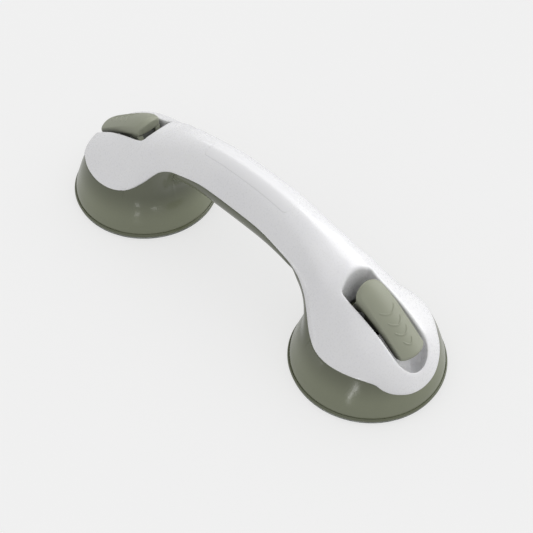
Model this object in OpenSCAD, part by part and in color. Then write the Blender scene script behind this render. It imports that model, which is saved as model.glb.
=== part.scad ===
// Suction grab bar: a two-part moulded grip between two domed suction heads.
// Each head has a soft cup, a stud, a spring and a locking lever with cams.
// Frame: millimetres, +Z up from the wall plane (cup lips at Z = 0),
// +X along the grip, origin midway between the two cup axes.

/* [Overall] */
// Distance between the two cup axes, mm
cup_pitch = 204; // [184:2:244]
// Outer radius of the rim rings, mm
ring_r = 49; // [48.6:0.2:49.6]
// Extra height of the grip crest, mm
crest_up = 0; // [-1:0.5:2]

/* [Shells] */
// Wall thickness of the white top shell, mm
top_wall = 2.4; // [2:0.1:2.8]
// Wall thickness of the lower shell, mm
low_wall = 2.4; // [2:0.1:2.8]
// Half width of the lever recess, mm
slot_hw = 12.4; // [12.2:0.1:13]

/* [Levers] */
// Half width of a lever, mm
lever_hw = 10.2; // [10:0.1:10.4]
// Thickness of a lever at its edges, mm
lever_t = 5.4; // [4.6:0.2:5.6]
// Height of the raised arrow marks, mm
mark_h = 0.5; // [0.3:0.1:0.7]

/* [Mechanism] */
// Lift of the stud between open and locked, mm
lift_mm = 3.5; // [2.5:0.1:3.5]
// Height of the lever pin above the wall, mm
pin_z = 50.5; // [50:0.1:50.7]
// Radius of the lever pin, mm
pin_r = 2.5; // [2:0.1:2.8]
// Radial clearance of the pin in the stud, mm
pin_gap = 0.05; // [0.02:0.01:0.1]
// Cam radius in the locked position, mm
cam_r = 12; // [11.8:0.1:12.2]

/* [Hidden] */
base = 3;                 // height of the ring's widest line above the wall
half = cup_pitch/2;
ex = half - 102;
white = [0.94, 0.94, 0.95];
sage = [0.42, 0.44, 0.36];
sage_light = [0.57, 0.59, 0.51];
steel = [0.72, 0.73, 0.75];

// ---- smooth curves through a few stations ----
function seg(T, x, i = 0) = (i >= len(T) - 2 || x < T[i+1][0]) ? i : seg(T, x, i + 1);
function slope(T, i) = (i == 0) ? (T[0][0] == 0 ? 0 : (T[1][1]-T[0][1])/(T[1][0]-T[0][0]))
  : (i == len(T)-1) ? (T[i][1]-T[i-1][1])/(T[i][0]-T[i-1][0])
  : (T[i+1][1]-T[i-1][1])/(T[i+1][0]-T[i-1][0]);
function curve(T, x) = let (i = seg(T, x), h = T[i+1][0]-T[i][0], s = (x-T[i][0])/h, a = slope(T, i)*h, b = slope(T, i+1)*h)
  (2*s*s*s-3*s*s+1)*T[i][1] + (s*s*s-2*s*s+s)*a + (3*s*s-2*s*s*s)*T[i+1][1] + (s*s*s-s*s)*b;
function mx(t) = t < 40 ? t*(40+ex)/40 : t + ex;

// heights are above the ring line; half widths are from the centre plane
CREST = [[0,85.05],[10,84.85],[20,84.2],[30,83.05],[40,81.25],[50,78.5],[60,74.9],[68,71.25],[75,67.95],[82,65.35],[90,62.4],[97,59.6],[103,56.85],[111,52.85],[119.5,47.9],[128,41.85],[131,39.7],[134,37.1],[136.5,34.4],[138.7,31.3],[140.7,27.8],[142.5,24],[144.2,20],[145.7,16],[146.85,12.5]];
SEAM_Z = [[0,68.1],[20,68],[28,67.1],[36,65.2],[44,62.8],[52,60.3],[56,58.2],[60,55.6],[64,51.9],[68,46.8],[72,41.5],[76,36.8],[80,32.9],[84,30.3],[91,28.7],[100,28.1],[112,27.9],[118.6,27.5],[124,26.8],[128.9,25.5],[132,24],[134.6,21.6],[138.9,18.1],[143,15.2],[145.2,13.5],[146.85,12.5]];
SEAM_Y = [[0,18.4],[20,18.6],[36,18.9],[52,19.5],[60,20.5],[64,21.5],[68,22.9],[72,25.2],[76,28],[80,30.8],[84,33.2]];
DOME = [[-1,48.1],[4,47.4],[8,46.3],[12,45],[16,43.7],[20,42.2],[24,40.5],[28,38.7],[32,36.8],[36,35.1],[40,33.5],[44,31.4]];
CROWN_N = [[0,1.66],[40,1.66],[55,1.78],[66,1.96],[76,2],[85,1.95],[94,1.8],[103,1.82],[113,1.85],[124,1.88],[135,1.94],[147,1.96]];
CROWN_M = [[0,1.53],[40,1.55],[55,1.74],[66,2.09],[76,2],[85,1.38],[94,0.98],[103,0.97],[113,1.04],[124,1.34],[135,1.81],[147,1.95]];
BELLY = [[0,50.7],[20,50.8],[40,50.6],[48,49.6],[53,47.2],[57,42.4],[60,36],[63,27.5],[66,20],[70,14],[74,12],[80,12]];
function dome_r(z) = curve(DOME, z);
function seam_z(t) = curve(SEAM_Z, t);
function seam_y(t) = t < 84 ? curve(SEAM_Y, t) : let (r = dome_r(seam_z(t)), d = t - 102) sqrt(max(0.01, r*r - d*d));
function crest(t) = curve(CREST, t) + crest_up*max(0, 1 - t/60);

STN = [0,8,16,24,32,40,46,52,57,61,65,69,73,77,81,85,90,95,100,105,110,115,120,124,128,131,134,136.5,138.5,140.3,142,143.4,144.6,145.6,146.3,146.75];
function both(S) = concat([for (i = [len(S)-1:-1:1]) -S[i]], [for (s = S) s]);
function sx(t) = t < 0 ? -mx(-t) : mx(t);

// closed skin from rings of equal length; strip = true closes bowed ends
module loft(R, strip = false) {
  n = len(R[0]); k = len(R); e = (k-1)*n; h = n/2-2;
  polyhedron(points = [for (r = R) each r],
    faces = concat(
      strip ? [for (j = [0:h]) each [[j, j+1, n-1-j], [j+1, n-2-j, n-1-j]]] : [[for (i = [0:n-1]) i]],
      strip ? [for (j = [0:h]) each [[e+j+1, e+j, e+n-1-j], [e+n-2-j, e+j+1, e+n-1-j]]] : [[for (i = [n-1:-1:0]) e + i]],
      [for (j = [0:k-2], i = [0:n-1]) let (a = j*n+i, b = j*n+(i+1)%n) each [[a, a+n, b], [b, a+n, b+n]]]), convexity = 10);
}

// ---- the crowned upper volume, o outwards ----
NA = 11;
function crown_ring(t, o) = let (u = abs(t), n = curve(CROWN_N, u), m = curve(CROWN_M, u),
    tip = max(0, min(1, (u-130)/16.85)), y = max(0.3, seam_y(u)+o), zs = seam_z(u), zb = zs - (o < 0 ? 4 : 0),
    h = max(0.3, crest(u) + o - zs), X = sx(t) + sign(t)*o*tip)
  concat([for (j = [0:NA]) let (a = 90*j/NA) [X, y*pow(cos(a), 2/n), base + zs + h*pow(sin(a), 2/m)]],
         [for (j = [NA-1:-1:0]) let (a = 90*j/NA) [X, -y*pow(cos(a), 2/n), base + zs + h*pow(sin(a), 2/m)]],
         [[X, -y, base + zb - 0.001], [X, y, base + zb - 0.001]]);
module crown(o = 0) loft([for (t = both(STN)) crown_ring(t, o)]);
module crown_patch(o = 0) loft([for (t = both([0, 8, 16, 24, 32, 40, 46])) crown_ring(t, o)]);

// ---- everything under the parting line ----
module under_parting(d = 0) rotate([90, 0, 0]) translate([0, 0, -60]) linear_extrude(120)
  polygon(concat([[-mx(147)-9, 0]], [[-mx(147)-9, base + 12.4 - d]], [for (t = both(STN)) [sx(t), base + seam_z(abs(t)) - 0.001 - d]],
    [[mx(147)+9, base + 12.4 - d], [mx(147)+9, 0]]));

STG = [0,10,20,30,38,44,49,53,56,58.5,61,63.5,66,69,73,78];
NB = 9;
function belly_ring(t, o) = let (u = abs(t), y = seam_y(u)+o, zs = seam_z(u), zb = curve(BELLY, u) - o, n = 2.5)
  concat([[sx(t), y, base + zs + 6], [sx(t), -y, base + zs + 6]],
    [for (j = [0:NB]) let (a = 90*j/NB) [sx(t), -y*pow(cos(a), 2/n), base + zs - (zs-zb)*pow(sin(a), 2/n)]],
    [for (j = [NB-1:-1:0]) let (a = 90*j/NB) [sx(t), y*pow(cos(a), 2/n), base + zs - (zs-zb)*pow(sin(a), 2/n)]]);
module belly(o = 0) loft([for (t = both(STG)) belly_ring(t, o)]);

module at_heads() { for (s = [0, 1]) mirror([s, 0, 0]) translate([half, 0, 0]) children(); }
module dome(o = 0, z0 = 0.2, z1 = 40) rotate_extrude($fn = 88)
  polygon(concat([[0, base+z0]], [for (z = [z0, 4, 8, 13, 18, 23, 28, 34, z1]) [dome_r(z)+o, base+z]], [[0, base+z1]]));

// ---- lever recess: plan outline and floor line ----
module recess_plan(o = 0) polygon(concat(
  [for (i = [0:8]) let (v = 1-i/4) [84.4-102+3.9*v*v-o, v*(slot_hw+o)]],
  [for (i = [0:14]) let (a = -90+180*i/14) [31+(11.4+o)*cos(a), (slot_hw+o)*sin(a)]]));
FLOOR = [[112,44.5],[118,40.2],[124,33.4],[129,26.6],[133,21.4],[137,18],[140,17.3],[143,18.3],[146,22]];
module recess_void() intersection() {
  linear_extrude(120) recess_plan(0);
  rotate([90, 0, 0]) translate([0, 0, -30]) linear_extrude(60)
    polygon(concat([[-25, 120], [-25, 10], [14.8, 10]], [for (x = [117:3:147]) [x-102, base+curve(FLOOR, x)]], [[46, base+23], [46, 120]]));
}
module recess_block() intersection() {
  linear_extrude(120) recess_plan(2);
  rotate([90, 0, 0]) translate([0, 0, -30]) linear_extrude(60)
    polygon(concat([[-25, 120], [-25, 38.4], [12.8, 38.4]], [for (x = [117:3:147]) [x-102, base-2.2+curve(FLOOR, x)]], [[46, base+20], [46, 120]]));
}

// ---- grip inlay outline ----
module racetrack(o = 0) hull() for (s = [-1, 1], t = [-1, 1]) translate([s*(34+ex*0.5), t*4.3]) circle(r = 3+o, $fn = 32);

HS = [[13.5, 25.5], [-13.5, 25.5], [13.5, -25.5], [-13.5, -25.5]];   // head screw places about a cup axis
GX = 34;                                                            // grip screw places along the grip

module shell_ribs() {
  at_heads() { recess_block(); for (p = HS) translate([p[0], p[1], 25.2]) cylinder(r = 3.8, h = 60, $fn = 28); }
  for (s = [-1, 1]) translate([s*(GX+ex*0.5), 0, 66]) cylinder(r = 4, h = 30, $fn = 28);
  for (s = [-1, 0, 1]) translate([s*16-0.8, -40, base+70]) cube([1.6, 80, 30]);
}
module top_shell() color(white) difference() {
  union() {
    difference() { crown(0); difference() { crown(-top_wall); shell_ribs(); } }
    at_heads() {
      intersection() { recess_block(); translate([0, 0, 15]) cylinder(r1 = dome_r(12)-low_wall-0.3, r2 = dome_r(31)-low_wall-0.3, h = 19); }
      for (p = HS) translate([p[0], p[1], 25.2]) cylinder(r = 3.8, h = 8, $fn = 28);
    }
    for (s = [-1, 1]) translate([s*(GX+ex*0.5), 0, 66]) cylinder(r = 4, h = 6, $fn = 28);
  }
  at_heads() { recess_void(); for (p = HS) translate([p[0], p[1], 20]) cylinder(r = 1.6, h = 15, $fn = 24); }
  for (s = [-1, 1]) translate([s*(GX+ex*0.5), 0, 60]) cylinder(r = 1.6, h = 18, $fn = 24);
  difference() { translate([0, 0, 80]) linear_extrude(20) racetrack(0.05); crown_patch(-0.8); }
}

module head_web() {
  // web, guide tower and ribs inside one dome
  difference() {
    union() {
      translate([0, 0, 14]) cylinder(r = 46, h = 2.4, $fn = 64);
      translate([0, 0, 12.6]) cylinder(r = 17.6, h = pin_z-cam_r-1.55-12.6, $fn = 48);
      for (a = [30:60:330]) rotate(a) translate([16, -1, 12.6]) cube([30, 2, 3]);
      for (p = HS) translate([p[0], p[1], 14.6]) cylinder(r = 4.2, h = 10.55, $fn = 28);
    }
    translate([0, 0, 10]) cylinder(r = 14.4, h = 23, $fn = 48);
    translate([-6.2, -5.2, 0]) cube([12.4, 10.4, 60]);
    for (p = HS) translate([p[0], p[1], 0]) { cylinder(r = 1.75, h = 40, $fn = 24); cylinder(r = 3.4, h = 19.6, $fn = 24); }
  }
}
module bottom_shell() color(sage) union() {
  difference() {
    intersection() { union() { belly(0); at_heads() dome(0); } under_parting(); }
    union() { belly(-low_wall); at_heads() dome(-low_wall, -1, 42); }
    for (s = [-1, 1]) translate([s*(GX+ex*0.5), 0, 0]) { cylinder(r = 1.75, h = 100, $fn = 24); cylinder(r = 3.4, h = base+54.6, $fn = 28); }
  }
  intersection() { at_heads() head_web(); union() { at_heads() translate([0, 0, 0]) dome(-low_wall+0.3, -1, 28); at_heads() cylinder(r = 18, h = 60, $fn = 48); } }
  // grip screw towers
  for (s = [-1, 1]) translate([s*(GX+ex*0.5), 0, 0]) difference() {
    translate([0, 0, base+51.5]) cylinder(r = 5, h = 66-base-51.5-0.05, $fn = 28);
    translate([0, 0, base+48]) cylinder(r = 3.4, h = 6.6, $fn = 28);
    cylinder(r = 1.75, h = 100, $fn = 28);
  }
}

module grip_inlay() color(white*0.99) difference() {
  intersection() { translate([0, 0, 80]) linear_extrude(20) racetrack(0); crown_patch(0.35); }
  crown_patch(-0.79);
}

module screw(len, head_r = 3.1, shank_r = 1.5) {
  difference() { cylinder(r = head_r, h = 2.2); for (a = [0, 90]) rotate(a) translate([-1.8, -0.4, -0.1]) cube([3.6, 0.8, 1.1]); }
  translate([0, 0, 2]) cylinder(r = shank_r, h = len-2.8);
  translate([0, 0, len-0.8]) cylinder(r1 = shank_r, r2 = 0.7, h = 0.8);
}
module grip_screws() color(steel) for (s = [-1, 1]) translate([s*(GX+ex*0.5), 0, base+52.35]) screw(22);

// ---- one head, drawn about its own axis with the lever pointing to +X ----
module h_rim_ring() color(sage*0.9) rotate_extrude()
  polygon([[43.4, 1.4], [ring_r-0.9, 1.4], [ring_r-0.3, 1.9], [ring_r, 2.7], [ring_r, 3.3], [ring_r-0.3, 4.1], [ring_r-0.75, 4.4], [48.4, 4.2], [48.4, 3.2], [43.4, 3.2]]);
module h_suction_cup() color([0.86, 0.88, 0.86, 0.8]) rotate_extrude()
  polygon([[0, 4.2], [12, 4.1], [22, 3], [30, 1.3], [35, 0.3], [37.5, 0], [47.6, 0], [48.3, 0.35], [48.3, 0.8], [47.2, 1.35], [43.3, 1.35], [43.3, 4.4], [41.5, 5.2], [36, 5.8], [26, 7.6], [20, 9.6], [16.4, 11.3], [8.2, 11.3], [8.2, 9.6], [14, 9.6], [14, 5.8], [0, 5.8]]);
module h_cup_stud() color([0.3, 0.31, 0.3]) difference() {
  union() {
    translate([0, 0, 5.8]) cylinder(r = 14, h = 3.8);
    translate([0, 0, 9.6]) cylinder(r = 8.2, h = 2);
    translate([-6, -5, 11.5]) cube([12, 10, pin_z-11.5]);
    translate([0, 5, pin_z]) rotate([90, 0, 0]) cylinder(r = 6, h = 10);
  }
  translate([0, 10, pin_z]) rotate([90, 0, 0]) cylinder(r = pin_r+pin_gap, h = 20);
}
module h_stud_spring() {
  // round wire coil round the stud, between cup and guide tower
  turns = 5; sg = 14; wr = 0.8; mr = 10.6; z0 = 12.5; z1 = 32;
  color(steel) loft([for (i = [0:turns*sg]) let (a = 360*i/sg, z = z0+(z1-z0)*i/(turns*sg))
    [for (k = [0:5]) let (b = 60*k) [(mr+wr*cos(b))*cos(a), (mr+wr*cos(b))*sin(a), z - wr*sin(b)]]]);
}
module h_lever_pin() color(steel) translate([0, 9.9, pin_z]) rotate([90, 0, 0]) cylinder(r = pin_r, h = 19.8);
module h_cam_plate() color(steel) translate([0, 0, pin_z-cam_r-1.55]) difference() {
  linear_extrude(1.2) hull() for (a = [-1, 1], b = [-1, 1]) translate([a*12, b*9.5]) circle(r = 2.5);
  translate([-6.3, -5.3, -1]) cube([12.6, 10.6, 4]);
}
module h_head_screws() color(steel) for (p = HS) translate([p[0], p[1], 17.35]) screw(16);

LEVER = [[90,63.6],[94,61.9],[98,60.1],[105,56.9],[113,52],[120,47],[128,41],[134,36.4],[139,32.6]];
module lever_body(o = 0) {
  ns = 15; nv = 10;
  function px(s, v) = let (a = 93.8+3*v*v, b = 138-3.9*v*v) a+(b-a)*s;
  loft([for (i = [0:ns]) let (s = i/ns) concat(
    [for (j = [0:nv]) let (v = 1-2*j/nv, x = px(s, v), r = 0.9*pow(abs(v), 8)+0.5*pow(abs(2*s-1), 16)+3.2*pow(max(0, 1-s/0.14), 2)) [x-102, v*lever_hw, base+curve(LEVER, x)+2.7-4.2*v*v-r+o]],
    [for (j = [0:nv]) let (v = -1+2*j/nv, x = px(s, v)) [x-102-0.6*(2*s-1)*pow(abs(2*s-1), 8), v*(lever_hw-0.5), base+curve(LEVER, x)-lever_t+2.4*pow(max(0, (x-126)/12), 2)]])], true);
}
function lever_top(x, y) = base + curve(LEVER, x) + 2.7 - 4.2*pow(y/lever_hw, 2);
module chevron(x, w) loft([for (v = [-1:1/3:1.01]) let (cx = x-0.75*w*abs(v), y = w*v, q = 0.5-0.12*abs(v))
  [[cx-102-q, y, lever_top(cx-q, y)+mark_h], [cx-102+q, y, lever_top(cx+q, y)+mark_h], [cx-102+q, y, lever_top(cx, y)-1], [cx-102-q, y, lever_top(cx, y)-1]]]);
module cam_side() polygon(concat(
  [for (i = [0:26]) let (a = -22+i*5.2, r = cam_r - lift_mm*a/90) [-r*sin(a), -r*cos(a)]],
  [[-8, 6.4], [-5, 8], [9, 2], [13, -1], [11.5, -6]]));
module h_lever() color(sage_light) difference() {
  union() {
    lever_body();
    for (c = [[115.8, 5.6], [123.2, 4.8], [128.6, 4], [133, 3.2]]) chevron(c[0], c[1]);
    for (s = [-1, 1]) translate([0, s*7.6+2.35, pin_z]) rotate([90, 0, 0]) linear_extrude(4.7) cam_side();
  }
  translate([0, 12, pin_z]) rotate([90, 0, 0]) cylinder(r = pin_r, h = 24);
  translate([0, 5.2, pin_z]) rotate([90, 0, 0]) cylinder(r = 6.5, h = 10.4);
}

module right() translate([half, 0, 0]) children();
module left() mirror([1, 0, 0]) translate([half, 0, 0]) children();

top_shell();
bottom_shell();
grip_inlay();
grip_screws();
left() h_rim_ring();  // left_rim_ring
left() h_suction_cup();  // left_suction_cup
left() h_cup_stud();  // left_cup_stud
left() h_stud_spring();  // left_stud_spring
left() h_lever();  // left_lever
left() h_lever_pin();  // left_lever_pin
left() h_cam_plate();  // left_cam_plate
left() h_head_screws();  // left_head_screws
right() h_rim_ring();  // right_rim_ring
right() h_suction_cup();  // right_suction_cup
right() h_cup_stud();  // right_cup_stud
right() h_stud_spring();  // right_stud_spring
right() h_lever();  // right_lever
right() h_lever_pin();  // right_lever_pin
right() h_cam_plate();  // right_cam_plate
right() h_head_screws();  // right_head_screws
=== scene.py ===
"""Suction grab bar: the looks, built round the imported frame.

A white crowned top shell on a grey-green lower shell, two domed heads with rim
rings and soft translucent cups, a locking lever in a lipped recess on each head
and an inlay on the grip. Every length in the tables is in millimetres and the
meshes are made in metres. Heights in the tables are above the ring line.
"""
import math

import bpy
import numpy as np
from mathutils import Matrix, Vector


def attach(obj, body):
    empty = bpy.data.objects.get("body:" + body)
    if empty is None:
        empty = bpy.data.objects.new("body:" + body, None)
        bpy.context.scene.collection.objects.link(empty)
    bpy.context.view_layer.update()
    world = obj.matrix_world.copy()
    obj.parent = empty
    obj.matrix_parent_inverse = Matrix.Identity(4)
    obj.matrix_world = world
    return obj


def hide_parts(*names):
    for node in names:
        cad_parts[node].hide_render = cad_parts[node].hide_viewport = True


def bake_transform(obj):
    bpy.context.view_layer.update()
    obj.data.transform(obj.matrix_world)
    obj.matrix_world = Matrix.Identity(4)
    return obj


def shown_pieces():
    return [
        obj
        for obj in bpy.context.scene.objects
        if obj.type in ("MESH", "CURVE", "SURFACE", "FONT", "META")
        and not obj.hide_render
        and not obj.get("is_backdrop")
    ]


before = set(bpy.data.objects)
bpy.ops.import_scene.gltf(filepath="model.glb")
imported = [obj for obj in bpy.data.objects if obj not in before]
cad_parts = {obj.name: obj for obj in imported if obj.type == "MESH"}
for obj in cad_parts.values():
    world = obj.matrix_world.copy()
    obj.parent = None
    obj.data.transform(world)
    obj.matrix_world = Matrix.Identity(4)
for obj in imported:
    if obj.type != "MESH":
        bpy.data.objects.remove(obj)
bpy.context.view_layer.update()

MM = 0.001
BASE = 3.0
KEY_W, RIM_W, FILL_W, SKY, FLOOR_GLOW, FLOOR_BOUNCE = 7.6, 2.2, 2.0, 0.60, 0.63, 0.36
HALF = 102.0

# ---------------------------------------------------------------- curves
CREST = [[0,85.05],[10,84.85],[20,84.2],[30,83.05],[40,81.25],[50,78.5],[60,74.9],[68,71.25],[75,67.95],[82,65.35],[90,62.4],[97,59.6],[103,56.85],[111,52.85],[119.5,47.9],[128,41.85],[131,39.7],[134,37.1],[136.5,34.4],[138.7,31.3],[140.7,27.8],[142.5,24],[144.2,20],[145.7,16],[146.85,12.5]]
SEAM_Z = [[0,68.1],[20,68],[28,67.1],[36,65.2],[44,62.8],[52,60.3],[56,58.2],[60,55.6],[64,51.9],[68,46.8],[72,41.5],[76,36.8],[80,32.9],[84,30.3],[91,28.7],[100,28.1],[112,27.9],[118.6,27.5],[124,26.8],[128.9,25.5],[132,24],[134.6,21.6],[138.9,18.1],[143,15.2],[145.2,13.5],[146.85,12.5]]
SEAM_Y = [[0,18.4],[20,18.6],[36,18.9],[52,19.5],[60,20.5],[64,21.5],[68,22.9],[72,25.2],[76,28],[80,30.8],[84,33.2]]
DOME = [[-1,48.1],[4,47.4],[8,46.3],[12,45],[16,43.7],[20,42.2],[24,40.5],[28,38.7],[32,36.8],[36,35.1],[40,33.5],[44,31.4]]
CROWN_N = [[0,1.66],[40,1.66],[55,1.78],[66,1.96],[76,2],[85,1.95],[94,1.8],[103,1.82],[113,1.85],[124,1.88],[135,1.94],[147,1.96]]
CROWN_M = [[0,1.53],[40,1.55],[55,1.74],[66,2.09],[76,2],[85,1.38],[94,0.98],[103,0.97],[113,1.04],[124,1.34],[135,1.81],[147,1.95]]
BELLY = [[0,50.7],[20,50.8],[40,50.6],[48,49.6],[53,47.2],[57,42.4],[60,36],[63,27.5],[66,20],[70,14],[74,12],[80,12]]
FLOOR = [[112,44.5],[118,40.2],[124,33.4],[129,26.6],[133,21.4],[137,18],[140,17.3],[143,18.3],[146,22]]
LEVER = [[90,63.6],[94,61.9],[98,60.1],[105,56.9],[113,52],[120,47],[128,41],[134,36.4],[139,32.6]]


def curve(T, x):
    """Cubic Hermite through the stations, slopes by central differences."""
    T = np.asarray(T, float)
    x = np.asarray(x, float)
    X, Y = T[:, 0], T[:, 1]
    s = np.empty_like(Y)
    s[1:-1] = (Y[2:] - Y[:-2]) / (X[2:] - X[:-2])
    s[0] = 0.0 if X[0] == 0 else (Y[1] - Y[0]) / (X[1] - X[0])
    s[-1] = (Y[-1] - Y[-2]) / (X[-1] - X[-2])
    i = np.clip(np.searchsorted(X, x, side="right") - 1, 0, len(X) - 2)
    h = X[i + 1] - X[i]
    t = (x - X[i]) / h
    return ((2*t**3 - 3*t**2 + 1)*Y[i] + (t**3 - 2*t**2 + t)*s[i]*h
            + (3*t**2 - 2*t**3)*Y[i + 1] + (t**3 - t**2)*s[i + 1]*h)


def dome_r(z):
    return curve(DOME, z)


def seam_z(x):
    return curve(SEAM_Z, np.abs(x))


def seam_y(x):
    a = np.abs(np.asarray(x, float))
    r = dome_r(seam_z(a))
    return np.where(a < 84, curve(SEAM_Y, np.minimum(a, 84)), np.sqrt(np.maximum(r*r - (a - HALF)**2, 0.0)))


def crown_z(x, y):
    """Height (row frame) of the crowned top over a plan point."""
    a = np.abs(np.asarray(x, float))
    u = np.clip(np.abs(y)/np.maximum(seam_y(a), 1e-6), 0, 1)
    n, m = curve(CROWN_N, a), curve(CROWN_M, a)
    zs = seam_z(a)
    return BASE + zs + (curve(CREST, a) - zs)*np.power(np.maximum(1 - u**n, 0), 1/m)


def smooth(t):
    t = np.clip(t, 0, 1)
    return t*t*(3 - 2*t)


# ---------------------------------------------------------------- mesh helpers
def mesh_object(name, verts, faces, merge=0.0):
    me = bpy.data.meshes.new(name)
    me.from_pydata([tuple(v) for v in np.asarray(verts, float)*MM], [], [tuple(int(i) for i in f) for f in faces])
    ob = bpy.data.objects.new(name, me)
    bpy.context.scene.collection.objects.link(ob)
    import bmesh
    bm = bmesh.new()
    bm.from_mesh(me)
    if merge:
        bmesh.ops.remove_doubles(bm, verts=bm.verts, dist=merge*MM)
    bmesh.ops.dissolve_degenerate(bm, edges=bm.edges, dist=1e-7)
    bmesh.ops.recalc_face_normals(bm, faces=bm.faces)
    bm.to_mesh(me)
    bm.free()
    me.polygons.foreach_set("use_smooth", [True]*len(me.polygons))
    me.update()
    return ob


class Sheet:
    """Grids of points gathered into one mesh."""

    def __init__(self):
        self.v, self.f, self.n = [], [], 0

    def grid(self, P, wrap=False, flip=False):
        P = np.asarray(P, float)
        a, b = P.shape[:2]
        self.v.append(P.reshape(-1, 3))
        idx = np.arange(a*b).reshape(a, b) + self.n
        self.n += a*b
        cols = range(b) if wrap else range(b - 1)
        for i in range(a - 1):
            for j in cols:
                k = (j + 1) % b
                q = (idx[i, j], idx[i, k], idx[i + 1, k], idx[i + 1, j])
                self.f.append(q[::-1] if flip else q)
        return idx

    def fan(self, ring_idx, centre):
        """Closes a loop of vertex numbers with one middle point."""
        self.v.append(np.asarray([centre], float))
        c = self.n
        self.n += 1
        m = len(ring_idx)
        for j in range(m):
            self.f.append((ring_idx[j], ring_idx[(j + 1) % m], c))

    def make(self, name, merge=0.004):
        return mesh_object(name, np.concatenate(self.v), self.f, merge)


def face_outwards(ob, point, outward=True):
    """Turns the whole skin so that the face nearest to a point outside looks at it."""
    me = ob.data
    p = Vector(point)*MM
    best = min(me.polygons, key=lambda q: (q.center - p).length_squared)
    looks = best.normal.dot(p - best.center) > 0
    if looks != outward:
        me.flip_normals()
    return ob


def thicken(ob, mm):
    m = ob.modifiers.new("wall", "SOLIDIFY")
    m.thickness = mm*MM
    m.offset = -1
    m.use_even_offset = False
    m.use_rim = True
    return ob


def lathe(profile, centre, seg=192, closed=True):
    """Turned form about a vertical axis; profile is [(r, z), ...]."""
    P = np.asarray(profile, float)
    a = np.linspace(0, 2*np.pi, seg, endpoint=False)
    s = Sheet()
    rows = []
    for r, z in P:
        rows.append(np.stack([centre + r*np.cos(a), r*np.sin(a), np.full_like(a, z)], 1))
    if closed:
        rows.append(rows[0])
    s.grid(np.asarray(rows), wrap=True)
    return s


def rounded(profile, radius, steps=4):
    """Rounds the corners of a closed (r, z) profile; radius is one number or one per corner."""
    P = [np.asarray(p, float) for p in profile]
    n = len(P)
    R = radius if isinstance(radius, (list, tuple)) else [radius]*n
    out = []
    for i in range(n):
        a, b, c = P[i - 1], P[i], P[(i + 1) % n]
        la, lc = np.linalg.norm(a - b), np.linalg.norm(c - b)
        d = min(R[i], la*0.45, lc*0.45)
        if d < 1e-4:
            out.append(b)
            continue
        p0, p2 = b + (a - b)/la*d, b + (c - b)/lc*d
        for k in range(steps + 1):
            t = k/steps
            out.append((1 - t)**2*p0 + 2*t*(1 - t)*b + t*t*p2)
    return np.asarray(out)


def mirrored(P):
    Q = np.array(P, float)
    Q[..., 0] *= -1
    return Q


# ---------------------------------------------------------------- recess outline
def recess_outline(n_in=28, n_side=44, n_tip=40, o=0.0):
    """Half outline of the lever recess in plan, from the inner end's middle to the tip, y >= 0."""
    hw, xc, rx = 12.4, 132.0, 10.0
    # inner end: shallow bow, then a rounded corner
    pts = []
    rc = 2.4
    y1 = hw - rc
    k = n_in - 10
    for i in range(k):
        y = y1*i/k
        pts.append((84.4 + 3.6*(y/hw)**2, y))
    x1 = 84.4 + 3.6*(y1/hw)**2
    for i in range(11):
        a = math.pi - 0.5*math.pi*i/10
        pts.append((x1 + rc*1.15 + rc*1.15*math.cos(a), y1 + rc*math.sin(a)))
    xs = pts[-1][0]
    for i in range(1, n_side):
        pts.append((xs + (xc - xs)*i/n_side, hw))
    for i in range(n_tip + 1):
        a = 0.5*math.pi*(1 - i/n_tip)
        pts.append((xc + rx*math.cos(a), hw*math.sin(a)))
    P = np.asarray(pts, float)
    full = np.concatenate([P, P[-2:0:-1]*[1, -1]])
    d = np.roll(full, -1, 0) - np.roll(full, 1, 0)
    d /= np.linalg.norm(d, axis=1)[:, None]
    nrm = np.stack([-d[:, 1], d[:, 0]], 1)
    if nrm[0, 0] > 0:
        nrm = -nrm
    h = len(P)
    return P, nrm[:h], n_in, n_side, n_tip


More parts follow.
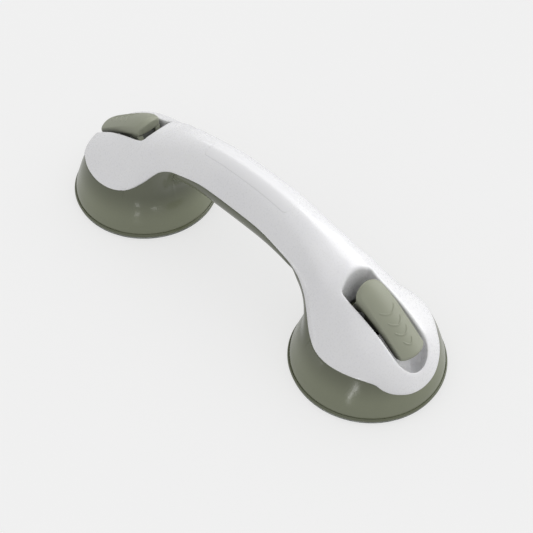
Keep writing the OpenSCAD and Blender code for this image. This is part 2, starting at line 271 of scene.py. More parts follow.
def white_head():
    """Crown skin round one recess with its rolled lip, wall and floor, x > 0."""
    P, N, n_in, n_side, n_tip = recess_outline()
    h = len(P)
    # lip radius: generous at the inner end and sides, finer at the tip
    t = np.clip((P[:, 0] - 118)/26, 0, 1)
    rho = 2.3*(1 - smooth(t)) + 2.1*smooth(t)
    inner = P + N*rho[:, None]
    inner[0, 1] = 0
    inner[-1, 1] = 0
    # outer loop: the section at x = 70, then along the parting line to the tip
    ni = n_in + 1
    tau = np.linspace(np.pi/2, 0, ni)
    nn = float(curve(CROWN_N, 70))
    sec = np.stack([np.full(ni, 70.0), float(seam_y(70))*np.power(np.cos(tau), 2/nn)], 1)
    sec[0, 1] = 0
    rest = h - ni
    q = np.linspace(0, 1, rest + 1)[1:]
    # share of the way along the side and the tip
    js = n_side - 1
    xs = np.empty(rest)
    split = js
    xs[:split] = 70 + (134.6 - 70)*np.power(np.arange(1, split + 1)/(split + 1), 0.97)
    m = rest - split
    ang = np.linspace(0, 1, m + 1)[1:]
    th0 = math.atan2(float(seam_y(xs[split - 1])), xs[split - 1] - HALF)
    # the seam as a function of angle near the tip
    xx = np.linspace(130, 146.85, 600)
    yy = seam_y(xx)
    yy[-1] = 0
    th = np.arctan2(yy, xx - HALF)
    want = th0*(1 - ang)
    xs[split:] = np.interp(want, th[::-1], xx[::-1])
    ys = seam_y(xs)
    ys[split:] = np.interp(want, th[::-1], yy[::-1])
    ys[-1] = 0
    xs[-1] = 146.85
    outer = np.concatenate([sec, np.stack([xs, ys], 1)])
    # skin
    nl = 30
    lam = np.sin(np.linspace(0, 1, nl + 1)*np.pi/2)
    rows = []
    for l in lam:
        xy = inner + (outer - inner)*l
        z = crown_z(xy[:, 0], xy[:, 1])
        if l == 1:
            z[ni - 1:] = BASE + seam_z(xy[ni - 1:, 0])
            z[:ni] = crown_z(70, sec[:, 1])
        rows.append(np.column_stack([xy, z]))
    skin = np.asarray(rows)
    # rolled lip: surface edge -> corner -> down the wall
    rim = np.column_stack([P, crown_z(P[:, 0], P[:, 1])])
    top = skin[0]
    low = rim.copy()
    low[:, 2] -= rho*1.15
    low[:, :2] -= N*0.05
    lip = []
    for k in range(1, 8):
        s = k/7
        lip.append((1 - s)**2*top + 2*s*(1 - s)*rim + s*s*low)
    # wall down to the floor
    xf = np.clip(P[:, 0], 116.8, 146)
    zf = BASE + curve(FLOOR, xf)
    zf = np.where(P[:, 0] < 116.8, 38.6, zf)
    k0 = smooth((P[:, 0] - 112)/5.5)
    zf = 38.6*(1 - k0) + (BASE + curve(FLOOR, np.clip(P[:, 0], 112, 146)))*k0
    zf = np.minimum(zf, low[:, 2] - 1.2)
    wall = []
    lean = smooth((P[:, 0] - 128)/12)
    fil = 2.2 + 1.2*lean
    k1 = smooth((P[:, 0] - 113)/5)
    drop = low[:, 2] - (zf + fil*k1)
    drop = np.maximum(drop, 0.4)
    for k in range(1, 11):
        s = k/10
        p = low.copy()
        p[:, 2] = low[:, 2] - drop*s
        p[:, :2] = low[:, :2] - N*((0.35 + 1.3*lean)*s)[:, None]
        wall.append(p)
    # fillet and floor rows: the floor is a strip of chords across the recess
    foot = wall[-1]
    fl = []
    cx = np.clip(P[:, 0], 0, 139.5)
    mid = np.column_stack([np.minimum(P[:, 0], 141.0), np.zeros(h)])
    for k in range(1, 6):
        a = 0.5*np.pi*k/5
        p = foot.copy()
        p[:, :2] = foot[:, :2] - N*(fil*(1 - np.cos(a))*k1)[:, None]
        p[:, 2] = foot[:, 2] - fil*k1*np.sin(a)
        fl.append(p)
    last = fl[-1]
    centre = np.array([0.0, 0.0])
    floor = []
    for k in range(1, 9):
        s = k/8
        xy = last[:, :2].copy()
        # towards the centre line, the tip folding towards x = 136
        tgt = np.column_stack([np.where(last[:, 0] < 130, last[:, 0], 130 + (last[:, 0] - 130)*0.62), np.zeros(h)])
        xy = xy + (tgt - xy)*s
        zc = BASE + curve(FLOOR, np.clip(xy[:, 0], 112, 146))
        z = last[:, 2]*(1 - smooth(s)) + np.where(k1 > 0.01, zc*k1 + last[:, 2]*(1 - k1), last[:, 2])*smooth(s)
        floor.append(np.column_stack([xy, z]))
    return skin, np.asarray([top] + lip + wall), np.asarray([foot] + fl), np.asarray([last] + floor), k1


def top_shell():
    s = Sheet()
    # grip, |x| <= 70
    xs = np.linspace(-70, 70, 141)
    tau = np.linspace(np.pi/2, 0, 29)
    nn, mm = curve(CROWN_N, np.abs(xs)), curve(CROWN_M, np.abs(xs))
    sy, sz, cr = seam_y(xs), seam_z(xs), curve(CREST, np.abs(xs))
    ta = np.concatenate([tau[::-1], tau[1:]])
    sg = np.concatenate([-np.ones(29), np.ones(28)])
    C, S = np.maximum(np.cos(ta), 0), np.sin(ta)
    C[28] = 0
    Y = sy[:, None]*np.power(C[None, :], 2/nn[:, None])*sg
    Z = BASE + sz[:, None] + (cr - sz)[:, None]*np.power(np.maximum(S[None, :], 0), 2/mm[:, None])
    X = np.repeat(xs[:, None], len(ta), 1)
    s.grid(np.stack([X, Y, Z], 2))
    skin, lip, fil, floor, k1 = white_head()
    pocket = np.argmax(k1 > 0.02)
    for mx in (False, True):
        for my in (1, -1):
            for G in (skin, lip, fil):
                g = np.array(G)
                g[..., 1] *= my
                if mx:
                    g[..., 0] *= -1
                s.grid(g, flip=(mx != (my < 0)))
            g = np.array(floor[:, pocket - 1:])
            g[..., 1] *= my
            if mx:
                g[..., 0] *= -1
            s.grid(g, flip=(mx != (my < 0)))
    ob = s.make("top_shell_skin", merge=0.02)
    face_outwards(ob, (0, 0, 120))
    thicken(ob, 0.7)
    return ob


# ---------------------------------------------------------------- lower shell
def hermite(P0, T0, P1, T1, t):
    t = np.asarray(t)[:, None, None]
    return (2*t**3 - 3*t**2 + 1)*P0 + (t**3 - 2*t**2 + t)*T0 + (3*t**2 - 2*t**3)*P1 + (t**3 - t**2)*T1


XB = 46.0


def belly_half(x, n=30):
    """Half section of the belly, from the bottom's middle to the parting line."""
    a = np.linspace(np.pi/2, 0, n + 1)
    y = float(seam_y(x))*np.power(np.maximum(np.cos(a), 0), 2/2.5)
    y[0] = 0
    zs, zb = float(seam_z(x)), float(curve(BELLY, abs(x)))
    z = BASE + zs - (zs - zb)*np.power(np.maximum(np.sin(a), 0), 2/2.5)
    return np.column_stack([np.full(n + 1, float(x)), y, z])


def sage_head():
    """One head of the lower shell, from the neck and parting line down to the rim, x > 0."""
    B = belly_half(XB)
    nb = len(B)
    xa = np.concatenate([np.linspace(XB, 84, 40)[1:], np.linspace(84, 134.6, 44)[1:]])
    seam = np.column_stack([xa, seam_y(xa), BASE + seam_z(xa)])
    xx = np.linspace(130, 146.85, 800)
    yy = seam_y(xx)
    yy[-1] = 0
    th = np.arctan2(yy, xx - HALF)
    th0 = math.atan2(seam[-1, 1], seam[-1, 0] - HALF)
    want = th0*(1 - np.linspace(0, 1, 31)[1:])
    tx = np.interp(want, th[::-1], xx[::-1])
    ty = np.interp(want, th[::-1], yy[::-1])
    tx[-1], ty[-1] = 146.85, 0
    tip = np.column_stack([tx, ty, BASE + seam_z(tx)])
    top = np.concatenate([B, seam, tip])
    h = len(top)
    # azimuth of each path's foot on the dome
    L = np.concatenate([[0], np.cumsum(np.linalg.norm(np.diff(top, axis=0), axis=1))])
    az = np.arctan2(top[:, 1], top[:, 0] - HALF)
    i84 = int(np.argmin(np.abs(top[:, 0] - 84) + 1000*(np.arange(h) < nb)))
    theta = az.copy()
    s = L[:i84 + 1]/L[i84]
    theta[:i84 + 1] = np.pi + (az[i84] - np.pi)*(0.42*s + 0.58*s**2.0)
    # where the path lands on the dome
    zland = np.full(h, 20.0)
    zl = np.minimum(zland, top[:, 2] - BASE)
    k = np.clip((top[:, 0] - 84)/2, 0, 1)
    zl = np.where(np.arange(h) > i84, top[:, 2] - BASE, zl)
    P1 = np.column_stack([HALF + dome_r(zl)*np.cos(theta), dome_r(zl)*np.sin(theta), BASE + zl])
    dz = 0.5
    drdz = (dome_r(zl + dz) - dome_r(zl - dz))/(2*dz)
    T1d = np.column_stack([-drdz*np.cos(theta), -drdz*np.sin(theta), -np.ones(h)])
    T1d /= np.linalg.norm(T1d, axis=1)[:, None]
    # start directions
    slope = float((curve(BELLY, XB + 0.5) - curve(BELLY, XB - 0.5)))
    along = np.array([1.0, 0, slope])
    down = np.zeros((h, 3))
    down[:, 2] = -1
    w = np.zeros(h)
    ii = np.arange(h)
    w[nb - 1:] = np.clip((top[nb - 1:, 0] - XB)/11.0, 0, 1)**0.8
    w2 = np.zeros(h)
    w2[nb:] = smooth((top[nb:, 0] - 62)/20.0)
    seam_dir = np.gradient(top, axis=0)
    seam_dir /= np.linalg.norm(seam_dir, axis=1)[:, None]
    # the section's own slope is blended into the along direction near the parting line
    T0d = np.repeat(along[None, :], h, 0)
    gz = np.where(ii < nb, 0, 1)
    bs = (curve(SEAM_Z, XB + .5) - curve(SEAM_Z, XB - .5))
    f = np.clip((B[:, 2] - B[0, 2])/(B[-1, 2] - B[0, 2]), 0, 1)
    T0d[:nb, 2] = slope*(1 - f) + float(bs)*f
    gy = float(seam_y(XB + .5) - seam_y(XB - .5))
    T0d[:nb, 1] = gy*(B[:, 1]/B[-1, 1])
    T0d[nb:] = T0d[nb - 1]
    T0d = T0d*(1 - w)[:, None] + (down*(1 - w2)[:, None] + T1d*w2[:, None])*w[:, None]
    T0d /= np.linalg.norm(T0d, axis=1)[:, None]
    D = np.linalg.norm(P1 - top, axis=1)
    reach = np.ones(h)
    reach[:nb] = 1 - 0.6*f*f
    reach[nb:] = 0.4 + 0.6*smooth((top[nb:, 0] - XB)/18)
    T0 = T0d*(D*reach)[:, None]
    T1 = T1d*(D*1.0)[:, None]
    t = np.linspace(0, 1, 34)
    G = hermite(top[None], T0[None], P1[None], T1[None], t)
    # down the dome to the foot
    rows = [G[i] for i in range(len(t))]
    for s_ in np.linspace(0, 1, 22)[1:]:
        z = zl + (0.35 - zl)*s_
        r = dome_r(z)
        rows.append(np.column_stack([HALF + r*np.cos(theta), r*np.sin(theta), BASE + z]))
    A = np.asarray(rows)
    A[:, 0, 1] = 0
    A[:, -1, 1] = 0
    return A, B


def bottom_shell():
    s = Sheet()
    xs = np.linspace(-XB, XB, 93)
    rows = []
    for x in xs:
        b = belly_half(x)
        rows.append(np.concatenate([b[::-1]*[1, -1, 1], b[1:]]))
    s.grid(np.asarray(rows))
    A, B = sage_head()
    for mx in (False, True):
        for my in (1, -1):
            g = np.array(A)
            g[..., 1] *= my
            if mx:
                g[..., 0] *= -1
            s.grid(g, flip=(mx != (my < 0)))
    ob = s.make("lower_shell_skin", merge=0.01)
    face_outwards(ob, (0, 0, -60))
    thicken(ob, 0.9)
    ob.modifiers["wall"].thickness_clamp = 1.5
    return ob


def head_frame(sx):
    """Inner web, guide tower and deck of one head, one turned closed form."""
    c = sx*HALF
    prof = rounded([(7.6, 36.9), (17.9, 36.9), (17.9, 16.4), (42.0, 16.4), (42.0, 14.0), (17.6, 14.0),
                    (17.6, 12.7), (14.5, 12.7), (14.5, 33.0), (7.6, 33.0)], 0.5, 3)
    return lathe(prof, c, 128).make(("left" if sx < 0 else "right") + "_guide_tower")


# ---------------------------------------------------------------- rings and cups
def rim_ring(sx):
    prof = rounded([(43.45, 1.45), (48.0, 1.45), (48.95, 2.3), (48.95, 3.6), (48.45, 4.35), (47.95, 4.35), (47.9, 3.35), (43.45, 3.2)],
                   [0.2, 0.9, 0.7, 0.6, 0.35, 0.25, 0.1, 0.1], 5)
    return lathe(prof, sx*HALF, 256).make(("left" if sx < 0 else "right") + "_rim_ring_skin")


def cup(sx):
    prof = rounded([(0.02, 4.25), (12, 4.15), (22, 3.05), (30, 1.35), (35, 0.35), (37.5, 0.02), (47.4, 0.02), (48.25, 0.3), (48.3, 0.85),
                    (47.2, 1.35), (43.3, 1.37), (43.2, 4.4), (41.5, 5.2), (36, 5.8), (26, 7.6), (20, 9.6), (16.4, 11.3),
                    (8.25, 11.3), (8.25, 9.65), (14.05, 9.62), (14.05, 5.78), (0.02, 5.78)], 0.8, 4)
    return lathe(prof, sx*HALF, 192, closed=False).make(("left" if sx < 0 else "right") + "_soft_cup", merge=0.03)


def spring(sx):
    c = sx*HALF
    turns, seg, wr, mr, z0, z1 = 5.4, 48, 0.8, 10.6, 12.4, 32.1
    n = int(turns*seg)
    a = np.linspace(0, 2*np.pi*turns, n)
    dead = 0.55
    u = np.clip((a/(2*np.pi) - dead)/(turns - 2*dead), 0, 1)
    z = z0 + wr*0.1 + (z1 - z0)*(0.04 + 0.92*u) + 0.0
    z = np.where(a < 2*np.pi*dead, z0 + (z1 - z0)*0.04*a/(2*np.pi*dead), z)
    z = np.where(a > 2*np.pi*(turns - dead), z1 - (z1 - z0)*0.04*(2*np.pi*turns - a)/(2*np.pi*dead), z)
    s = Sheet()
    b = np.linspace(0, 2*np.pi, 12, endpoint=False)
    rows = []
    for i in range(n):
        rr = mr + wr*np.cos(b)
        rows.append(np.stack([c + rr*math.cos(a[i]), rr*math.sin(a[i]), z[i] - wr*np.sin(b)], 1))
    idx = s.grid(np.asarray(rows), wrap=True)
    s.fan(list(idx[0]), (c + mr*math.cos(a[0]), mr*math.sin(a[0]), z[0]))
    s.fan(list(idx[-1]), (c + mr*math.cos(a[-1]), mr*math.sin(a[-1]), z[-1]))
    return s.make(("left" if sx < 0 else "right") + "_coil_spring", merge=0.0)


# ---------------------------------------------------------------- levers
LHW = 10.2
TOP_HW = 9.65
CHEV = [(115.8, 6.05, 3.7), (122.1, 5.25, 3.6), (127.5, 5.05, 3.5), (132.8, 3.6, 2.9)]


def lever_base_top(x, v):
    return BASE + curve(LEVER, x) + 2.75 - 2.9*v*v


def lever_under(x, y):
    """Underside of the plate: deep side flanges, full depth over the cams, thin at the finger end."""
    v = np.clip(np.abs(y)/LHW, 0, 1)
    w = smooth((v - 0.80)/0.12)
    deep = BASE + curve(LEVER, x) - (5.4*(1 - w) + 6.3*w)
    thin = lever_base_top(x, v) - 1.7
    k = smooth((x - (118 + 11.5*w))/(14 - 7.8*w))
    return deep*(1 - k) + thin*k - 1.8*(1 - smooth((x - 94)/6))


def lever(sx):
    """Lever plate with rounded edges, a soft inner end, arrow ridges and two cams."""
    nu, nv = 230, 110
    s_ = 0.5 - 0.5*np.cos(np.linspace(0, 1, nu + 1)*np.pi)*1.0
    s_ = 0.35*s_ + 0.65*np.linspace(0, 1, nu + 1)
    v_ = np.sin(np.linspace(-1, 1, nv + 1)*np.pi/2)
    v_ = 0.45*v_ + 0.55*np.linspace(-1, 1, nv + 1)
    S, V = np.meshgrid(s_, v_, indexing="ij")

    def place(S, V):
        a = 93.8 + 1.9*np.abs(V)**2 + 1.5*np.abs(V)**12
        b = 138.1 - 3.2*np.abs(V)**2 - 0.8*np.abs(V)**18
        return a + (b - a)*S

    X = place(S, V)
    W = TOP_HW
    Y = V*W
    # distance to the plan edge, for the rounded edge
    a0 = place(np.zeros_like(S), V)
    b0 = place(np.ones_like(S), V)
    er = 0.55
    k = np.clip(np.minimum(X - a0, b0 - X)/er, 0, 1)
    edge = er*(1 - np.sqrt(np.maximum(1 - (1 - k)**2, 0)))
    er = 0.55 + 0.9*(1 - smooth((X - 95)/17))
    k = np.clip((1 - np.abs(V))*W/er, 0, 1)
    edge = np.maximum(edge, er*(1 - np.sqrt(np.maximum(1 - (1 - k)**2, 0))))
    # soft inner end rolls down further
    roll = 2.4*np.clip(1 - (X - a0)/5.0, 0, 1)**2.2
    Z = lever_base_top(X, V) - edge*0.95 - roll
    # arrow ridges: a thin bowed V, apex to the outer end
    for cx, w, dep in CHEV:
        q = np.abs(Y)/w
        line = cx - dep*np.power(np.abs(q), 1.9)
        ay = np.abs(Y)
        slope_ = dep/w*1.9*np.power(np.clip(q, 0.02, 1), 0.9)
        dist = np.abs(X - line)/np.sqrt(1 + slope_**2)
        taper = smooth(np.clip((w + 0.3 - ay)/0.9, 0, 1))
        Z = Z + 0.46*taper*smooth(np.clip(1.25 - dist/0.46, 0, 1))
    top = np.stack([X, Y, Z], 2)
    sh = Sheet()
    idx_top = sh.grid(top)
    # skirt and underside
    ring = np.concatenate([top[:, 0], top[-1, 1:], top[-2::-1, -1], top[0, -2:0:-1]])
    side = np.minimum(1, np.abs(ring[:, 1])/W)
    under = lever_under(ring[:, 0], np.sign(ring[:, 1])*side*LHW)
    rows = [ring]
    hgt = ring[:, 2] - under
    inward = np.stack([np.clip((116.0 - ring[:, 0])/22, -1, 1)**5, -np.sign(ring[:, 1])*side**6], 1)
    draft = np.sign(ring[:, 1])*side**6*(LHW - 0.04 - W)*smooth((ring[:, 0] - 96)/11)
    for kk in range(1, 13):
        t = kk/12
        p = ring.copy()
        p[:, 2] = ring[:, 2] - hgt*t
        off = 0.3*t
        if t > 0.85:
            off += 0.4*((t - 0.85)/0.15)**2
        p[:, 0] += inward[:, 0]*off*np.clip(hgt/3, 0.3, 1)
        if t > 0.85:
            p[:, 1] += inward[:, 1]*0.5*((t - 0.85)/0.15)**2*np.clip(hgt/3, 0.3, 1)
        p[:, 1] += draft*np.clip(t*hgt/4.5, 0, 1)
        rows.append(p)
    sh.grid(np.asarray(rows), wrap=True)
    low = rows[-1]
    # underside: the same grid as the top, carried by the foot of the skirt
    n1, n2 = nu + 1, nu + 1 + nv
    L = np.empty_like(top)
    L[:, 0], L[-1, 1:] = low[:n1], low[n1:n2]
    L[-2::-1, -1], L[0, -2:0:-1] = low[n2:n2 + nu], low[n2 + nu:]
    inside = (slice(1, -1), slice(1, -1))
    bx = L[0, :, 0][None] + (L[-1, :, 0] - L[0, :, 0])[None]*S
    by = Y + (L[:, -1, 1] - Y[:, -1])[:, None]*np.sign(V)*np.abs(V)**6
    L[inside] = np.stack([bx, by, lever_under(bx, by)], 2)[inside]
    sh.grid(L, flip=True)
    # cam cheeks
    pz, cr, lift = 50.5, 12.0, 3.5
    prof = [(-(cr - lift*a/90)*math.sin(math.radians(a)), -(cr - lift*a/90)*math.cos(math.radians(a))) for a in np.linspace(-22, 113, 46)]
    prof += [(-6.3, 5.4), (-3.6, 7.2), (2, 4.4), (9, 1.4), (13, -1.6), (11.5, -6)]
    prof = np.asarray(prof)
    cc = prof.mean(0)
    for sy in (-1, 1):
        rows = []
        for y, sc in ((5.3, 0.96), (5.45, 0.985), (5.8, 1.0), (7.4, 1.0), (9.0, 1.0), (9.35, 0.985), (9.5, 0.96)):
            q = cc + (prof - cc)*sc
            if sc == 1.0:
                q = prof
            rows.append(np.stack([HALF + q[:, 0], np.full(len(q), sy*y), pz + q[:, 1]], 1))
        idx = sh.grid(np.asarray(rows), wrap=True)
        sh.fan(list(idx[0]), (HALF + cc[0], sy*5.3, pz + cc[1]))
        sh.fan(list(idx[-1]), (HALF + cc[0], sy*9.5, pz + cc[1]))
    if sx < 0:
        sh.v = [mirrored(v) for v in sh.v]
    return sh.make(("left" if sx < 0 else "right") + "_lever_skin", merge=0.0)


# ---------------------------------------------------------------- inlay
def inlay():
    """Thin domed strip let into the crest of the grip."""
    hl, hw, rc = 35.6, 7.3, 3.0
    nx, ny = 120, 32
    a = np.linspace(-1, 1, nx + 1)
    b = np.linspace(-1, 1, ny + 1)
    a = 0.75*a + 0.25*np.sin(a*np.pi/2)
    b = 0.7*b + 0.3*np.sin(b*np.pi/2)
    U, V = np.meshgrid(a, b, indexing="ij")
    # map the square onto a rounded rectangle, by ring
    m = np.maximum(np.abs(U), np.abs(V))
    X, Y = U*hl, V*hw

    def clampring(X, Y, hl_, hw_, r):
        qx, qy = np.abs(X) - (hl_ - r), np.abs(Y) - (hw_ - r)
        out = (qx > 0) & (qy > 0)
        d = np.hypot(qx, qy)
        # square corner pulled in to the arc
        L = np.maximum(qx, qy)
        f = np.where(out & (d > 0), L/np.maximum(d, 1e-9), 1.0)
        return (np.where(out, np.sign(X)*((hl_ - r) + qx*f), X), np.where(out, np.sign(Y)*((hw_ - r) + qy*f), Y))

    X, Y = clampring(X, Y, hl, hw, rc)
    qx, qy = np.maximum(np.abs(X) - (hl - rc), 0), np.maximum(np.abs(Y) - (hw - rc), 0)
    dist = rc - np.where((qx > 0) & (qy > 0), np.hypot(qx, qy), np.maximum(qx, qy))
    dist = np.minimum(np.minimum(hl - np.abs(X), hw - np.abs(Y)), np.where((qx > 0) & (qy > 0), dist, 99))
    k = np.clip(dist/0.45, 0, 1)
    lift = 0.24*np.sqrt(np.maximum(1 - (1 - k)**2, 0)) - 0.07
    Z = crown_z(X, Y) + lift
    s = Sheet()
    top = np.stack([X, Y, Z], 2)
    s.grid(top)
    bot = np.stack([X, Y, crown_z(X, Y) - 0.75], 2)
    s.grid(bot, flip=True)
    rt = np.concatenate([top[:, 0], top[-1, 1:], top[-2::-1, -1], top[0, -2:0:-1]])
    rb = np.concatenate([bot[:, 0], bot[-1, 1:], bot[-2::-1, -1], bot[0, -2:0:-1]])
    s.grid(np.asarray([rt, rb]), wrap=True)
    return s.make("grip_inlay_skin", merge=0.0005)


# ---------------------------------------------------------------- materials
def new_mat(name):
    m = bpy.data.materials.new(name)
    m.use_nodes = True
    nt = m.node_tree
    nt.nodes.clear()
    out = nt.nodes.new("ShaderNodeOutputMaterial")
    b = nt.nodes.new("ShaderNodeBsdfPrincipled")
    nt.links.new(b.outputs[0], out.inputs[0])
    return m, nt, b


def srgb(r, g, b):
    f = lambda c: (c/255/12.92) if c/255 <= 0.04045 else ((c/255 + 0.055)/1.055)**2.4
    return (f(r), f(g), f(b), 1.0)


def plastic(name, lo, hi, rough=(0.22, 0.3), grain=900.0, bump=0.02, coat=0.25, coat_rough=0.06, spec=0.5, sss=0.0,
            wear=0.0, cloud=18.0, trans=0.0, metal=0.0, wear_col=None, painted_gap_shade=None, painted_height_shade=None):
    m, nt, b = new_mat(name)
    N, Lk = nt.nodes, nt.links
    tc = N.new("ShaderNodeTexCoord")
    big = N.new("ShaderNodeTexNoise")
    big.inputs["Scale"].default_value = cloud
    big.inputs["Detail"].default_value = 4
    Lk.new(tc.outputs["Object"], big.inputs["Vector"])
    fine = N.new("ShaderNodeTexNoise")
    fine.inputs["Scale"].default_value = grain
    fine.inputs["Detail"].default_value = 3
    Lk.new(tc.outputs["Object"], fine.inputs["Vector"])
    ramp = N.new("ShaderNodeValToRGB")
    ramp.color_ramp.elements[0].position = 0.3
    ramp.color_ramp.elements[0].color = lo
    ramp.color_ramp.elements[1].position = 0.72
    ramp.color_ramp.elements[1].color = hi
    Lk.new(big.outputs[0], ramp.inputs[0])
    col = ramp.outputs[0]
    if wear:
        geo = N.new("ShaderNodeNewGeometry")
        wr = N.new("ShaderNodeValToRGB")
        wr.color_ramp.elements[0].position = 0.52
        wr.color_ramp.elements[0].color = (0, 0, 0, 1)
        wr.color_ramp.elements[1].position = 0.62
        wr.color_ramp.elements[1].color = (wear, wear, wear, 1)
        Lk.new(geo.outputs["Pointiness"], wr.inputs[0])
        mix = N.new("ShaderNodeMix")
        mix.data_type = "RGBA"
        Lk.new(wr.outputs[0], mix.inputs[0])
        Lk.new(col, mix.inputs[6])
        mix.inputs[7].default_value = wear_col or hi
        col = mix.outputs[2]
    if painted_height_shade:
        # painted shade: colour darkens with height: (low z, high z, factor at the top)
        sx_ = N.new("ShaderNodeSeparateXYZ")
        Lk.new(tc.outputs["Object"], sx_.inputs[0])
        fr = N.new("ShaderNodeMapRange")
        fr.interpolation_type = "SMOOTHSTEP"
        fr.inputs["From Min"].default_value, fr.inputs["From Max"].default_value = painted_height_shade[0], painted_height_shade[1]
        fr.inputs["To Min"].default_value, fr.inputs["To Max"].default_value = 1.0, painted_height_shade[2]
        Lk.new(sx_.outputs[2], fr.inputs["Value"])
        vm = N.new("ShaderNodeVectorMath")
        vm.operation = "SCALE"
        Lk.new(col, vm.inputs[0])
        Lk.new(fr.outputs[0], vm.inputs["Scale"])
        col = vm.outputs[0]
    if painted_gap_shade:
        # painted shade: the colour is darkened by ambient occlusion in tight gaps: (reach, darkest factor, occlusion
        # low, occlusion high)
        ao = N.new("ShaderNodeAmbientOcclusion")
        ao.inputs["Distance"].default_value = painted_gap_shade[0]
        ar = N.new("ShaderNodeMapRange")
        ar.inputs["From Min"].default_value, ar.inputs["From Max"].default_value = painted_gap_shade[2], painted_gap_shade[3]
        ar.inputs["To Min"].default_value, ar.inputs["To Max"].default_value = painted_gap_shade[1], 1.0
        Lk.new(ao.outputs["AO"], ar.inputs["Value"])
        vc = N.new("ShaderNodeVectorMath")
        vc.operation = "SCALE"
        Lk.new(col, vc.inputs[0])
        Lk.new(ar.outputs[0], vc.inputs["Scale"])
        col = vc.outputs[0]
    Lk.new(col, b.inputs["Base Color"])
    mr = N.new("ShaderNodeMapRange")
    mr.inputs["To Min"].default_value = rough[0]
    mr.inputs["To Max"].default_value = rough[1]
    Lk.new(fine.outputs[0], mr.inputs["Value"])
    Lk.new(mr.outputs[0], b.inputs["Roughness"])
    bp = N.new("ShaderNodeBump")
    bp.inputs["Strength"].default_value = bump
    bp.inputs["Distance"].default_value = 0.0004
    Lk.new(fine.outputs[0], bp.inputs["Height"])
    Lk.new(bp.outputs[0], b.inputs["Normal"])
    b.inputs["Coat Weight"].default_value = coat
    b.inputs["Coat Roughness"].default_value = coat_rough
    b.inputs["Specular IOR Level"].default_value = spec
    b.inputs["Metallic"].default_value = metal
    if sss:
        b.inputs["Subsurface Weight"].default_value = sss
        b.inputs["Subsurface Radius"].default_value = (0.004, 0.004, 0.0035)
        b.inputs["Subsurface Scale"].default_value = 0.6
    if trans:
        b.inputs["Transmission Weight"].default_value = trans
        b.inputs["IOR"].default_value = 1.43
    return m


def steel(name, lo, hi, rough=(0.22, 0.38), stretch=(1, 1, 18), scale=260.0):
    m = plastic(name, lo, hi, rough=rough, grain=scale, bump=0.06, coat=0.0, metal=1.0, cloud=60.0)
    nt = m.node_tree
    tc = [n for n in nt.nodes if n.type == "TEX_COORD"][0]
    fine = [n for n in nt.nodes if n.type == "TEX_NOISE"][1]
    mp = nt.nodes.new("ShaderNodeMapping")
    mp.inputs["Scale"].default_value = stretch
    for l in list(nt.links):
        if l.to_node == fine and l.to_socket.name == "Vector":
            nt.links.remove(l)
    nt.links.new(tc.outputs["Object"], mp.inputs["Vector"])
    nt.links.new(mp.outputs[0], fine.inputs["Vector"])
    return m


WHITE = plastic("white_gloss_plastic", srgb(240, 240, 242), srgb(246, 246, 247), rough=(0.24, 0.32), coat=0.35, coat_rough=0.09, bump=0.003, sss=0.14)
INLAY = plastic("white_satin_plastic", srgb(238, 238, 240), srgb(243, 243, 244), rough=(0.3, 0.38), coat=0.2, coat_rough=0.12, bump=0.006, sss=0.05)
# painted shade: the lower shell darkens with height, to 0.6 above 32 mm, for the shade under the white shell's overhang
SAGE = plastic("grey_green_gloss_plastic", srgb(126, 130, 109), srgb(132, 136, 114), rough=(0.16, 0.24), coat=0.3, coat_rough=0.05, bump=0.012, spec=0.4,
               painted_height_shade=(0.013, 0.032, 0.60))
# painted shade: the rim ring is the lower shell's grey-green, darkened to stand in for the shade in the groove above it
SHADED_RING = plastic("grey_green_ring_shaded_plastic", srgb(95, 99, 77), srgb(101, 105, 83), rough=(0.2, 0.3), coat=0.3, coat_rough=0.08, bump=0.015)
# painted shade: the lever's colour darkens in the tight gaps round it
LEVER_M = plastic("grey_green_matte_plastic", srgb(147, 150, 132), srgb(153, 156, 138), rough=(0.42, 0.52), coat=0.05, coat_rough=0.3, bump=0.05, grain=1500.0,
                  painted_gap_shade=(0.005, 0.10, 0.35, 0.85))
CUP = plastic("clear_soft_rubber", srgb(214, 219, 214), srgb(224, 228, 223), rough=(0.12, 0.24), coat=0.2, bump=0.02, trans=0.72)
STUD = plastic("dark_grey_nylon", srgb(78, 80, 76), srgb(92, 94, 90), rough=(0.38, 0.52), coat=0.0, bump=0.08, grain=1200.0, wear=0.35, wear_col=srgb(128, 130, 126))
SPRING = steel("spring_wire_steel", srgb(168, 170, 174), srgb(196, 198, 202))
PIN = steel("pin_steel", srgb(178, 180, 184), srgb(204, 206, 208), stretch=(1, 22, 1))
PLATE = steel("brushed_plate_steel", srgb(164, 166, 170), srgb(190, 192, 196), stretch=(22, 1, 1))
SCREW = steel("zinc_screw_steel", srgb(150, 152, 158), srgb(190, 192, 198), stretch=(1, 1, 6), rough=(0.28, 0.45))


def dress(ob, mat):
    ob.data.materials.clear()
    ob.data.materials.append(mat)


def repaint(node, mat):
    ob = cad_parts[node]
    if not ob.material_slots:
        ob.data.materials.append(mat)
    for sl in ob.material_slots:
        sl.material = mat


# ---------------------------------------------------------------- build
ts = top_shell()
dress(ts, WHITE)
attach(ts, "shells")
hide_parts("top_shell")

bs = bottom_shell()
dress(bs, SAGE)
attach(bs, "shells")
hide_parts("bottom_shell")

gi = inlay()
dress(gi, INLAY)
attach(gi, "shells")
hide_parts("grip_inlay")

for sx, side in ((-1, "left"), (1, "right")):
    tower = head_frame(sx)
    dress(tower, SAGE)
    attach(tower, "shells")
    rg = rim_ring(sx)
    dress(rg, SHADED_RING)
    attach(rg, "shells")
    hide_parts(side + "_rim_ring")
    cp = cup(sx)
    dress(cp, CUP)
    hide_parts(side + "_suction_cup")
    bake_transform(cp)
    sp = spring(sx)
    dress(sp, SPRING)
    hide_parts(side + "_stud_spring")
    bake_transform(sp)
    lv = lever(sx)
    dress(lv, LEVER_M)
    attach(lv, side + "_lever")
    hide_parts(side + "_lever")
    repaint(side + "_cup_stud", STUD)
    repaint(side + "_lever_pin", PIN)
    repaint(side + "_cam_plate", PLATE)
    repaint(side + "_head_screws", SCREW)
repaint("grip_screws", SCREW)

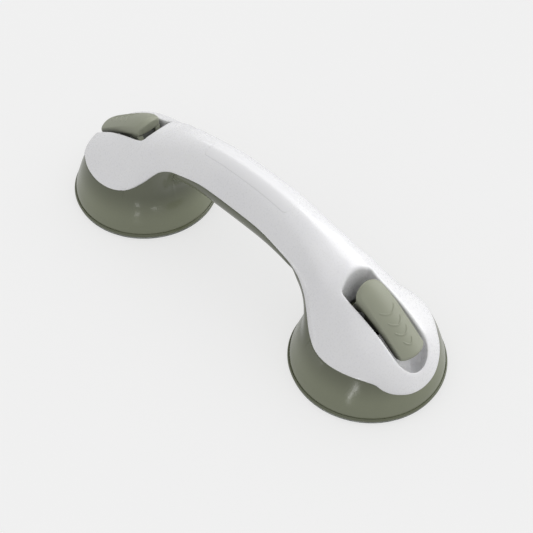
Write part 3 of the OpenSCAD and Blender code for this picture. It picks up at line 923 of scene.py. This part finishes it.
# ---------------------------------------------------------------- stage
fl = mesh_object("studio_floor", [(-4000, -4000, -0.4), (4000, -4000, -0.4), (4000, 4000, -0.4), (-4000, 4000, -0.4)], [(0, 1, 2, 3)])
fmat = plastic("studio_floor_paper", srgb(170, 170, 170), srgb(172, 172, 172), rough=(0.9, 1.0), coat=0.0, bump=0.0, spec=0.0, cloud=3.0)
fb = [n for n in fmat.node_tree.nodes if n.type == "BSDF_PRINCIPLED"][0]
fb.inputs["Emission Color"].default_value = (1, 1, 1, 1)
lp = fmat.node_tree.nodes.new("ShaderNodeLightPath")
fm = fmat.node_tree.nodes.new("ShaderNodeMapRange")
fm.inputs["To Min"].default_value, fm.inputs["To Max"].default_value = FLOOR_BOUNCE, FLOOR_GLOW
fmat.node_tree.links.new(lp.outputs["Is Camera Ray"], fm.inputs["Value"])
fmat.node_tree.links.new(fm.outputs[0], fb.inputs["Emission Strength"])
dress(fl, fmat)
fl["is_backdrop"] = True

world = bpy.data.worlds.new("studio_world")
bpy.context.scene.world = world
world.use_nodes = True
wn = world.node_tree
bg = [n for n in wn.nodes if n.type == "BACKGROUND"][0]
bg.inputs[0].default_value = (1, 1, 1, 1)
wp = wn.nodes.new("ShaderNodeLightPath")
wm = wn.nodes.new("ShaderNodeMapRange")
wm.inputs["To Min"].default_value, wm.inputs["To Max"].default_value = SKY, 0.87
wn.links.new(wp.outputs["Is Camera Ray"], wm.inputs["Value"])
wn.links.new(wm.outputs[0], bg.inputs[1])


def area(name, at, aim, sx_, sy_, power, color=(1, 1, 1)):
    d = bpy.data.lights.new(name, "AREA")
    d.shape = "RECTANGLE"
    d.size, d.size_y = sx_, sy_
    d.energy = power
    d.color = color
    o = bpy.data.objects.new(name, d)
    bpy.context.scene.collection.objects.link(o)
    o.location = at
    o.rotation_mode = "QUATERNION"
    o.rotation_quaternion = (Vector(aim) - Vector(at)).to_track_quat("-Z", "Y")
    return o


AZ, EL, ROLL = math.radians(44.62), math.radians(48.81), math.radians(1.18)
back = Vector((math.sin(AZ)*math.cos(EL), -math.cos(AZ)*math.cos(EL), math.sin(EL)))
right = Vector((math.cos(AZ), math.sin(AZ), 0))
up = back.cross(right)
r2 = right*math.cos(ROLL) + up*math.sin(ROLL)
u2 = -right*math.sin(ROLL) + up*math.cos(ROLL)

mid = Vector((0.0, 0, 0.045))
away = Vector((-back.x, -back.y, 0)).normalized()
key = area("key_softbox", mid + 1.25*(0.78*right + 0.38*away + 0.50*Vector((0, 0, 1))), mid, 1.1, 0.9, KEY_W)
rim = area("rim_softbox", mid + 1.2*(0.10*right + 0.85*away + 0.55*Vector((0, 0, 1))), mid, 1.2, 0.5, RIM_W)
fill = area("fill_softbox", mid + 1.5*(back + 0.25*up - 0.15*right), mid, 1.0, 1.0, FILL_W)
lit = bpy.data.collections.new("lit_pieces")
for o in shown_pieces():
    lit.objects.link(o)
for o in (key, rim, fill):
    o.light_linking.receiver_collection = lit
    o.visible_camera = False


def glow_card(name, corners, power):
    """A low reflector beside a head, seen only as a streak in the gloss."""
    o = mesh_object(name, corners, [(0, 1, 2, 3)])
    m, nt, b_ = new_mat(name)
    nt.nodes.remove(b_)
    e = nt.nodes.new("ShaderNodeEmission")
    e.inputs[1].default_value = power
    out_ = [n for n in nt.nodes if n.type == "OUTPUT_MATERIAL"][0]
    nt.links.new(e.outputs[0], out_.inputs[0])
    dress(o, m)
    for k in ("visible_camera", "visible_diffuse", "visible_shadow", "visible_transmission", "visible_volume_scatter"):
        setattr(o, k, False)
    o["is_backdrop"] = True
    return o


def strip_card(name, p, q, w0, w1, power):
    p, q = np.array(p, float), np.array(q, float)
    d = (q - p)/np.linalg.norm(q - p)
    n = np.array([-d[1], d[0]])
    glow_card(name, [(*(p - n*w0/2), 0.3), (*(q - n*w1/2), 0.3), (*(q + n*w1/2), 0.3), (*(p + n*w0/2), 0.3)], power)


strip_card("streak_card_1", (139, -84), (162, -125), 5, 8, 5.0)
strip_card("streak_card_2", (172, -136), (225, -225), 14, 26, 5.0)
strip_card("streak_card_4", (-27, -108), (30, -178), 14, 22, 3.2)

cam = bpy.data.cameras.new("camera")
cam.sensor_width = 36
cam.lens = 92.23
co = bpy.data.objects.new("camera", cam)
bpy.context.scene.collection.objects.link(co)
R = Matrix((r2, u2, back)).transposed().to_4x4()
co.matrix_world = Matrix.Translation(Vector((0.41561, -0.40710, 0.66667))) @ R
bpy.context.scene.camera = co
bpy.context.scene.view_settings.view_transform = "Standard"
